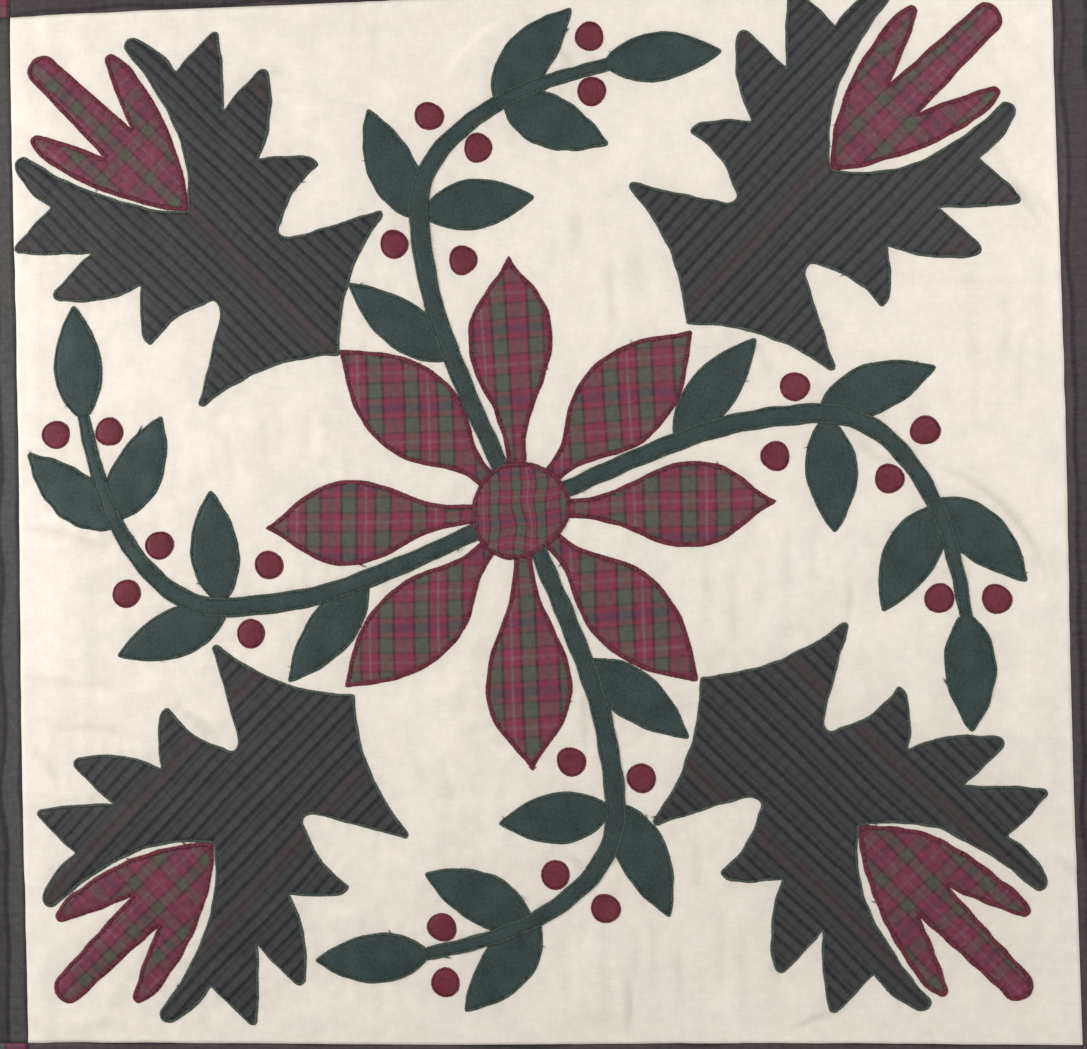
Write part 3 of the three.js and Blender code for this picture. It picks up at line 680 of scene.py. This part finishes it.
def muslin():
    """Unbleached cotton muslin, plain woven of uneven threads: cream crossed by faint slubs, yellower here
    and greyer there, and finely mottled, the mottle made strong enough to paint the shade of small crinkles.
    Painted shade darkens it between patches, beside their edges and in creases, as the piece's tone gives.
    The threads are about 0.4 mm apart and drawn at 1.2 mm to show."""
    material, tree, shader = matte("cotton_muslin_cream", 0.85)
    place = put(tree, "TexCoord", out="Object")
    blotch = put(tree, "TexNoise", {"Vector": place, "Scale": 1 / BLOTCH, "Detail": 4, "Roughness": 0.6})
    colour = put(tree, "Mix", {0: blotch, 6: linear("#f1e8da"), 7: linear("#eee6dc")}, 2, data_type="RGBA")
    slubs = uneven_threads(tree, place, *SLUB)
    slubbed = put(tree, "MapRange", {"Value": slubs, 1: 0.6, 2: 1.4, 3: 0.96, 4: 1.04})
    # Mottle: the cotton's own uneven tone, made strong enough to also paint the shade of small crinkles
    mottle = put(tree, "TexNoise", {"Vector": place, "Scale": 1 / MOTTLE, "Detail": 6, "Roughness": 0.8})
    mottle_and_painted_shade = put(tree, "MapRange", {"Value": mottle, **NOISE_SPAN, 3: 0.92, 4: 1.07})
    # Painted shade from the ground's tone attribute: darker between patches, beside their edges and in
    # creases
    painted_shade = put(tree, "Attribute", out="Fac", attribute_name="tone")
    for shade in (slubbed, mottle_and_painted_shade, painted_shade):
        colour = put(tree, "Mix", {0: 1.0, 6: colour, 7: shade}, 2, data_type="RGBA", blend_type="MULTIPLY")
    tree.links.new(colour, shader["Base Color"])
    relief = put(tree, "Bump", {"Height": slubs, "Strength": 0.2, "Distance": 0.0002})
    tree.links.new(relief, shader["Normal"])
    return material


def brushed_relief(tree, shader, place, yarn, fluff):
    """Relief of a brushed cloth: the unevenness of its yarn plus its fluff."""
    rough = put(tree, "Math", {0: uneven_threads(tree, place, *yarn), 1: fluff})
    relief = put(tree, "Bump", {"Height": rough, "Strength": 0.4, "Distance": 0.0003})
    tree.links.new(relief, shader["Normal"])


def plaid(name, warp, weft, warp_share, fibre, brown=None):
    """Yarn-dyed cotton plaid, plain woven and brushed: each place shows more of the warp's colour than of the
    weft's, with the mix shaken by the fibres. A thread pitch of 0.5 mm is drawn at 1.2 mm to show."""
    material, tree, shader = matte(name, 0.6)
    place = put(tree, "UVMap", uv_map="weave")
    nap = put(tree, "TexNoise", {"Vector": place, "Scale": 1 / NAP, "Detail": 3, "Roughness": 0.65}, 1)
    push = (NAP_PUSH, NAP_PUSH, 0)
    brushed = put(tree, "VectorMath", {0: nap, 1: push, 2: place}, operation="MULTIPLY_ADD")
    sides = put(tree, "SeparateXYZ", {0: brushed}).node.outputs
    shades = []
    for sett, side in zip((warp, weft), sides):
        shade = put(tree, "ValToRGB")
        whole = threads(shade.node.color_ramp.elements, sett)
        share = put(tree, "Math", {0: side, 1: whole}, operation="DIVIDE")
        again = put(tree, "Math", {0: share}, operation="FRACT")
        tree.links.new(again, shade.node.inputs[0])
        shades.append(shade)
    fluff = put(tree, "TexNoise", {"Vector": place, "Scale": 1 / FLUFF, "Detail": 4, "Roughness": 0.75})
    mix = {3: 1 - warp_share - MIX_SHAKE, 4: 1 - warp_share + MIX_SHAKE}
    shown = put(tree, "MapRange", {"Value": fluff, **NOISE_SPAN, **mix})
    colour = put(tree, "Mix", {0: shown, 6: shades[0], 7: shades[1]}, 2, data_type="RGBA")
    if brown:
        repeat, half, code, amount = brown
        shifted = put(tree, "Math", {0: sides[0], 1: repeat}, operation="PINGPONG")
        soft = {1: half - BROWN_SOFT, 2: half + BROWN_SOFT}
        within = put(tree, "MapRange", {"Value": shifted, **soft, 3: amount, 4: 0.0})
        colour = put(tree, "Mix", {0: within, 6: colour, 7: linear(code)}, 2, data_type="RGBA")
    broad = put(tree, "TexNoise", {"Vector": place, "Scale": 1 / WEAR, "Detail": 5, "Roughness": 0.75})
    worn = put(tree, "MapRange", {"Value": broad, **NOISE_SPAN, 3: 1 - fibre, 4: 1 + fibre})
    colour = put(tree, "Mix", {0: 1.0, 6: colour, 7: worn}, 2, data_type="RGBA", blend_type="MULTIPLY")
    tree.links.new(colour, shader["Base Color"])
    brushed_relief(tree, shader, place, PLAID_YARN, fluff)
    return material


def plain_cotton(name, deep, pale):
    """Piece-dyed cotton, plain woven: one dark colour that is a little paler where fibres stand up."""
    material, tree, shader = matte(name, 0.6)
    place = put(tree, "UVMap", uv_map="weave")
    fluff = put(tree, "TexNoise", {"Vector": place, "Scale": 1 / LINT, "Detail": 5, "Roughness": 0.72})
    dye = put(tree, "TexNoise", {"Vector": place, "Scale": 1 / DYE, "Detail": 2})
    shake = put(tree, "Math", {0: dye, 1: 0.5, 2: fluff}, operation="MULTIPLY_ADD")
    share = put(tree, "MapRange", {"Value": shake, 1: 0.5, 2: 1.0, 3: 0.0, 4: 1.0})
    colour = put(tree, "Mix", {0: share, 6: linear(deep), 7: linear(pale)}, 2, data_type="RGBA")
    tree.links.new(colour, shader["Base Color"])
    brushed_relief(tree, shader, place, PLAIN_YARN, fluff)
    return material


def thread(name, deep, pale):
    """Spun sewing thread laid close: a soft sheen, and each stitch a shade of its own."""
    material, tree, shader = matte(name, 0.6)
    shade = put(tree, "Attribute", out="Fac", attribute_name="tone")
    colour = put(tree, "Mix", {0: shade, 6: linear(deep), 7: linear(pale)}, 2, data_type="RGBA")
    tree.links.new(colour, shader["Base Color"])
    return material


def mirrored(widths, codes):
    """A sett that runs to its last band and back."""
    half = tuple(zip(widths, codes))
    return half + half[-2::-1]


# Pale, red, dark, green, dark and red bands, on both sides of a dull red or purple one
RED = ("#7e5b66", "#82344a", "#402a33", "#55574b", "#402a33", "#82344a")
RED_WARP = mirrored((0.4, 4.4, 1.3, 7.6, 1.3, 3.2, 4.6), (*RED, "#713d4c"))
RED_WEFT = mirrored((0.6, 4.6, 0.8, 8.0, 0.8, 3.1, 5.2), (*RED, "#4a3950"))
# The same cloth on the tulips, worn soft: narrower greens and colours that have run together
WORN = ("#74505c", "#76364a", "#4a2a34", "#525247", "#4a2a34", "#76364a")
WORN_WARP = mirrored((0.4, 5.6, 1.0, 6.0, 1.0, 3.8, 5.4), (*WORN, "#6a3a48"))
WORN_WEFT = mirrored((0.6, 5.8, 0.8, 6.4, 0.8, 3.5, 5.2), (*WORN, "#523548"))
DARK_WARP = (
    (4.2, "#444444"), (2.4, "#232429"), (4.2, "#414140"), (0.9, "#313235"), (1.8, "#424241"),
    (2.5, "#222428"),
)
DARK_WEFT = ((5, "#3a3d3e"), (2, "#2d3036"), (6, "#3e3d3f"), (1.2, "#2a2c30"))
BORDER_WARP = (
    (5.6, "#4e4346"), (2.8, "#281e24"), (10.5, "#44393d"), (4, "#212026"), (5.1, "#443e43"),
    (5, "#3f3a3f"), (3, "#28252c"), (8.9, "#4e4d4b"), (1.4, "#3a393c"),
)
BORDER_WEFT = ((5, "#444342"), (2, "#39393d"), (6, "#474446"), (1.2, "#363538"))

CLOTHS = {
    "cream_cotton": muslin(),
    "red_plaid": plaid("cotton_plaid_red", RED_WARP, RED_WEFT, 0.64, 0.2),
    "worn_plaid": plaid("cotton_plaid_red_worn", WORN_WARP, WORN_WEFT, 0.6, 0.3),
    "dark_plaid": plaid("cotton_plaid_dark", DARK_WARP, DARK_WEFT, 0.72, 0.24, (42, 4.2, "#483a39", 0.52)),
    "border_plaid": plaid("cotton_plaid_border", BORDER_WARP, BORDER_WEFT, 0.72, 0.27),
    "green_cotton": plain_cotton("cotton_green", "#253130", "#435150"),
    "berry_cotton": plain_cotton("cotton_berry", "#571f2a", "#7f3846"),
}
THREADS = {
    "burgundy": thread("thread_burgundy", "#5c2330", "#7f3c4a"),
    "teal": thread("thread_teal", "#414b47", "#5c655f"),
    "green": thread("thread_green", "#3d4a45", "#56625b"),
    "berry": thread("thread_berry", "#6c2a37", "#843d4b"),
}


def slab(name, sides, cells, material, node, weave):
    """A quilted cloth with its filling and backing over a rectangle: the face is the height map on a grid,
    the walls drop straight from its rim, and the flat underside is a fan about its middle."""
    (x0, x1), (y0, y1) = sides
    x, y = np.meshgrid(np.linspace(x0, x1, cells[0] + 1), np.linspace(y0, y1, cells[1] + 1))
    z = face_height(x, y)
    tone = None
    if node == "ground_block":
        block = slice(MAP_NODES - GROUND_CELLS // 2, MAP_NODES + GROUND_CELLS // 2 + 1)
        z = z - UNDER_PATCH * smooth(face_deep[block, block], UNDER_FROM, UNDER_TO)
        # The ground's tone is the painted shade of the face map; its walls and underside get none
        tone = np.append(face_painted_shade[block, block].ravel(), np.ones(4 * GROUND_CELLS + 1))
    top = np.stack([x, y, z], -1).reshape(-1, 3)
    number = np.arange(len(top)).reshape(x.shape)
    quads = np.stack([number[:-1, :-1], number[:-1, 1:], number[1:, 1:], number[1:, :-1]], -1)
    rim = np.concatenate([number[0, :-1], number[:-1, -1], number[-1, :0:-1], number[:0:-1, 0]])
    foot = top[rim] * (1, 1, 0)
    low = len(top) + np.arange(len(rim))
    after = np.roll(low, -1)
    walls = np.stack([rim, low, after, np.roll(rim, -1)], -1)
    centre = len(top) + len(rim)
    under = np.stack([np.full(len(rim), centre), after, low], -1)
    points = np.vstack([top, foot, [[(x0 + x1) / 2, (y0 + y1) / 2, 0]]])
    on_cloth = turned(points[:, :2] - weave[1:], -weave[0])
    sway = [waves(x, y, long, seed).ravel() for long, seed in zip(SLAB_SWAY_LONG, SLAB_SEEDS)]
    on_cloth[:len(top)] += SLAB_SWAY * np.stack(sway, -1)
    piece = sewn(name, laid(points), [quads.reshape(-1, 4), walls, under], CLOTHS[material], on_cloth, tone)
    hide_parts(node)
    return piece


def cut_cloth(patch):
    """A patch laid on the face: its outline and a grid of points inside, joined to triangles, at the face's
    height plus the cloth's. It thins to its turned edge along a quarter round, and a copy just above the
    ground closes it below."""
    rim = even(patch.outline, CLOTH_EDGE_STEP)
    low, high = rim.min(0), rim.max(0)
    x, y = np.meshgrid(np.arange(low[0], high[0], CLOTH_STEP), np.arange(low[1], high[1], CLOTH_STEP))
    x = x + 0.5 * CLOTH_STEP * (np.arange(len(x)) % 2)[:, None]
    gap, _ = edge_field(x, y, rim)
    inside = np.stack([x, y], -1)[gap < -CLOTH_INSIDE * CLOTH_STEP]
    ring = np.arange(len(rim))
    edges = np.stack([ring, np.roll(ring, -1)], -1)
    # 1 keeps the triangles inside the outline
    flat, _, faces, *_ = delaunay_2d_cdt(np.vstack([rim, inside]).tolist(), edges.tolist(), [], 1, 1e-6)
    flat, faces = np.array(flat), np.array(faces)
    a, b, c = np.moveaxis(flat[faces], 1, 0)
    turn = (b - a)[:, 0] * (c - a)[:, 1] - (b - a)[:, 1] * (c - a)[:, 0]
    faces = np.where(turn[:, None] > 0, faces, faces[:, ::-1])
    gap, _ = edge_field(flat[:, 0], flat[:, 1], rim)
    part = np.clip(-gap / CLOTH_ROUND, 0, 1)
    ground = face_height(flat[:, 0], flat[:, 1])
    lift = patch.lift_at(flat)
    foot = ground + UNDERSIDE_FOOT * CLOTH_FOOT + UNDERSIDE_LIFT * lift
    top = ground + CLOTH_FOOT + lift + CLOTH_THICK * np.sqrt(1 - (1 - part) ** 2)
    number = len(flat)
    pairs = np.vstack([faces[:, [0, 1]], faces[:, [1, 2]], faces[:, [2, 0]]])
    code = np.sort(pairs, axis=1) @ (number, 1)
    _, first, seen = np.unique(code, return_index=True, return_counts=True)
    a, b = pairs[first[seen == 1]].T
    walls = np.stack([b, a, a + number, b + number], -1)
    points = np.vstack([np.column_stack([flat, top]), np.column_stack([flat, foot])])
    gather, pull, long = DISC_WEAVE if patch.node == "flower_centre" else PATCH_WEAVE
    on_cloth = gather * turned(flat - patch.weave[1:], -patch.weave[0])
    on_cloth += pull * np.stack([waves(*flat.T, long, patch.seed + k) for k in (0, 1)], -1)
    piece = sewn(patch.name, laid(points), [faces, faces[:, ::-1] + number, walls], CLOTHS[patch.cloth],
                 np.vstack([on_cloth, on_cloth]))
    if patch.node:
        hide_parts(patch.node)


# One stitch as a grain of eight points: its two ends, and two stations of left foot, crest and right foot.
# For each point its station, its side, and the height it has: outer foot, inner foot or crest.
STITCH_POINTS = 8
STITCH_STATION = (0, 1, 1, 1, 2, 2, 2, 3)
STITCH_ASIDE = np.array([0, -1, 0, 1, -1, 0, 1, 0])[:, None]
STITCH_HEIGHT = (0, 0, 2, 0, 1, 2, 1, 1)
STITCH_TRIS = np.array([(0, 2, 1), (0, 3, 2), (0, 1, 3), (7, 4, 5), (7, 5, 6), (7, 6, 4)])
STITCH_QUADS = np.array([(1, 2, 5, 4), (2, 3, 6, 5), (1, 4, 6, 3)])


def stitches(at, out, reach_out, reach_in, half, foot, crest):
    """Closed grains of thread across an edge: each has its ends at reach_out and reach_in along the step out,
    and between them a ridge over two low feet. foot and crest are heights above the face."""
    along = np.stack([-out[:, 1], out[:, 0]], -1)
    outer, inner = STITCH_CREST
    far = np.stack([reach_out, outer * reach_out, -inner * reach_in, -reach_in], -1)
    spine = at[:, None, :] + far[..., None] * out[:, None, :]
    wide = half[:, None, None] * along[:, None, :]
    plan = spine[:, STITCH_STATION] + STITCH_ASIDE * wide
    rise = np.column_stack([foot, crest])[:, STITCH_HEIGHT]
    return plan.reshape(-1, 2), (face_height(plan[..., 0], plan[..., 1]) + rise).ravel()


def satin(colour):
    """All the stitched edges in one thread. Stitches stand an even pitch apart on each outline, slanted and
    uneven, and are left out where another patch covers the edge. Now and then a whisker sticks out."""
    grains, tones = [], []
    reach_out, reach_in, rise = STITCH_REACH[colour]
    for patch in patches:
        if patch.thread != colour:
            continue
        pick = np.random.default_rng(patch.seed + STITCH_SEED)
        at = even(patch.outline, STITCH_PITCH)
        out = outward(at)
        for cover in patch.under:
            gap, _ = edge_field(at[:, 0], at[:, 1], even(cover.outline, FIELD_STEP))
            at, out = at[gap > STITCH_HIDDEN], out[gap > STITCH_HIDDEN]
        n = len(at)
        aside = np.stack([-out[:, 1], out[:, 0]], -1)
        skew = out + pick.normal(*STITCH_SLANT, n)[:, None] * aside
        swell = STITCH_SWELL * np.sin(np.arange(n) / STITCH_SWELL_LONG + patch.seed)
        lump = 1 + swell + pick.normal(0, STITCH_UNEVEN, n)
        bounded = np.clip(lump, *STITCH_LUMP)
        cover = CLOTH_FOOT + patch.lift_at(at) + CLOTH_THICK
        foot = np.stack([np.full(n, STITCH_FOOT), cover + STITCH_SEAT], -1)
        grains.append(stitches(at, skew, reach_out * lump, reach_in * bounded, np.full(n, STITCH_HALF), foot,
                               cover + rise * bounded))
        tones.append(np.clip(pick.normal(*STITCH_TONE, n), 0, 1))
        if colour != "berry":
            few = pick.choice(n, max(1, n // WHISKER_EVERY), replace=False)
            k = len(few)
            lean = out[few] + pick.normal(0, WHISKER_LEAN, (k, 1)) * aside[few]
            foot = np.stack([pick.uniform(*WHISKER_TIP, k), np.full(k, WHISKER_ROOT)], -1)
            grains.append(stitches(at[few], lean, pick.uniform(*WHISKER_LONG, k), np.full(k, WHISKER_TUCK),
                                   np.full(k, WHISKER_HALF), foot, pick.uniform(*WHISKER_CREST, k)))
            tones.append(pick.uniform(*WHISKER_TONE, k))
    plans, heights = zip(*grains)
    points = np.column_stack([np.vstack(plans), np.concatenate(heights)])
    first = STITCH_POINTS * np.arange(len(points) // STITCH_POINTS)[:, None, None]
    faces = [(first + STITCH_TRIS).reshape(-1, 3), (first + STITCH_QUADS).reshape(-1, 4)]
    tone = np.repeat(np.concatenate(tones), STITCH_POINTS)
    return sewn(f"satin_{colour}", laid(points), faces, THREADS[colour], tone=tone)


def binding(side, turn):
    """One side of the binding: a folded section carried along the edge, with both ends mitred. The fold's
    height breathes a little along its length, and stands still at the ends."""
    under, over, back = FOLD_STEPS
    corner, crown = (BINDING, FOLD_LOW), (BINDING / 2, FOLD_TALL)
    fold = np.vstack([
        [(SEAM_GAP / 2, 0)], bent((BINDING - FOLD_UNDER, 0), (BINDING, 0), corner, steps=under),
        bent(corner, (BINDING, FOLD_TALL), crown, steps=over)[1:],
        bent(crown, (BINDING / 4, FOLD_TALL), (SEAM_GAP / 2, FOLD_SEAM), steps=back)[1:],
    ])
    share = np.linspace(-1, 1, BINDING_STATIONS)
    reach = HALF_INNER + fold[:, 0] - SEAM_GAP / math.sqrt(2)
    x = share[:, None] * reach[None]
    y = np.broadcast_to(HALF_INNER + fold[:, 0], x.shape)
    breathe = sum(tall * waves(x, 0 * x, long, seed) for tall, long, seed in BINDING_WAVES)
    breathe = breathe * (1 - share[:, None] ** BINDING_STOPS)
    z = fold[:, 1] + np.where(fold[:, 1] > BINDING_FLAT, np.minimum(breathe, BINDING_MOST), 0)
    points = np.stack([x, y, z], -1).reshape(-1, 3)
    number = np.arange(len(points)).reshape(x.shape)
    after = np.roll(number, -1, axis=1)
    quads = np.stack([number[:-1], after[:-1], after[1:], number[1:]], -1).reshape(-1, 4)
    first, last = (np.stack([np.full(len(row) - 2, row[0]), row[1:-1], row[2:]], -1)
                   for row in (number[0], number[-1]))
    on_cloth = np.stack([np.broadcast_to(far_along(fold), x.shape).ravel(), x.ravel()], -1)
    placed = np.column_stack([turned(points[:, :2], turn), points[:, 2]])
    piece = sewn(f"binding_fold_{side}", placed, [quads, first[:, ::-1], last], CLOTHS["border_plaid"],
                 on_cloth)
    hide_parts(f"binding_{side}")


def make_quilt():
    """All the pieces, from the ground up."""
    inset = SEAM_GAP / 2
    near, far = HALF_BLOCK + inset, HALF_INNER - inset
    block = (-HALF_BLOCK + inset, HALF_BLOCK - inset)
    ground = slab("ground_cloth", (block, block), (GROUND_CELLS, GROUND_CELLS), "cream_cotton",
                  "ground_block", (0, 0, 0))

    def stretch(name, up, down):
        """Where a strip or corner begins and ends along one way, by the letters of its name."""
        return (near, far) if up in name else (-far, -near) if down in name else block

    for name, start in STRIP_SETTS.items():
        area = (stretch(name, "e", "w"), stretch(name, "n", "s"))
        seam = start + (near if name in "ne" else -near)
        lies = name in "ns"
        cells, weave = (STRIP_CELLS, (90, 0, seam)) if lies else (STRIP_CELLS[::-1], (0, seam, 0))
        strip = slab(f"strip_cloth_{name}", area, cells, "border_plaid", f"strip_{name}", weave)
    for name in ("ne", "nw", "sw", "se"):
        x, y = stretch(name, "e", "w"), stretch(name, "n", "s")
        corner = slab(f"corner_cloth_{name}", (x, y), STRIP_CELLS[1:] * 2, "red_plaid",
                      f"corner_{name}", (0, x[0] + CORNER_SETT[0], y[0] + CORNER_SETT[1]))
    for k, side in enumerate("nwse"):
        binding(side, 90 * k)
    for patch in patches:
        cut_cloth(patch)
    edges = [satin(colour) for colour in THREADS]


make_quilt()

# Floor, light and camera
FLOOR = 6.0
floor_mesh = bpy.data.meshes.new("floor")
floor_mesh.from_pydata([(-FLOOR, -FLOOR, 0), (FLOOR, -FLOOR, 0), (FLOOR, FLOOR, 0), (-FLOOR, FLOOR, 0)], [],
                       [(0, 1, 2, 3)])
floor = added("floor", floor_mesh)
pale_floor, _, floor_shader = matte("pale_floor", 0.9, 0.5)
floor_shader["Base Color"].default_value = linear("#d9d6d1")
floor_mesh.materials.append(pale_floor)


def soft_light(name, place, size, power):
    """A square white soft box at a place, turned to face the middle of the block."""
    lamp = bpy.data.lights.new(name, "AREA")
    lamp.size = size
    lamp.energy = power
    box = added(name, lamp)
    box.location = place
    flat = math.hypot(place[0], place[1])
    box.rotation_euler = (math.atan2(flat, place[2]), 0, math.atan2(place[1], place[0]) + math.pi / 2)


soft_light("window", (-0.95, 0.15, 0.6), 0.5, 8.8)
soft_light("lamp", (0.6, 0.4, 0.7), 0.5, 4.5)
soft_light("fill", (0.6, -1.1, 0.6), 0.6, 4.1)

world = bpy.data.worlds.new("studio")
world.use_nodes = True
sky = world.node_tree.nodes["Background"].inputs
sky["Color"].default_value = linear("#ffffff")
sky["Strength"].default_value = 0.25
scene.world = world
scene.view_settings.view_transform = "Standard"

# The camera looks down on the block from a little to the right of its middle
camera = added("camera", bpy.data.cameras.new("camera"))
camera.data.lens = 50
camera.data.sensor_width = 36
camera.location = (0.0684, -0.0188, 0.8781)
camera.rotation_euler = (math.radians(0.801), math.radians(4.001), math.radians(-1.273))
scene.camera = camera
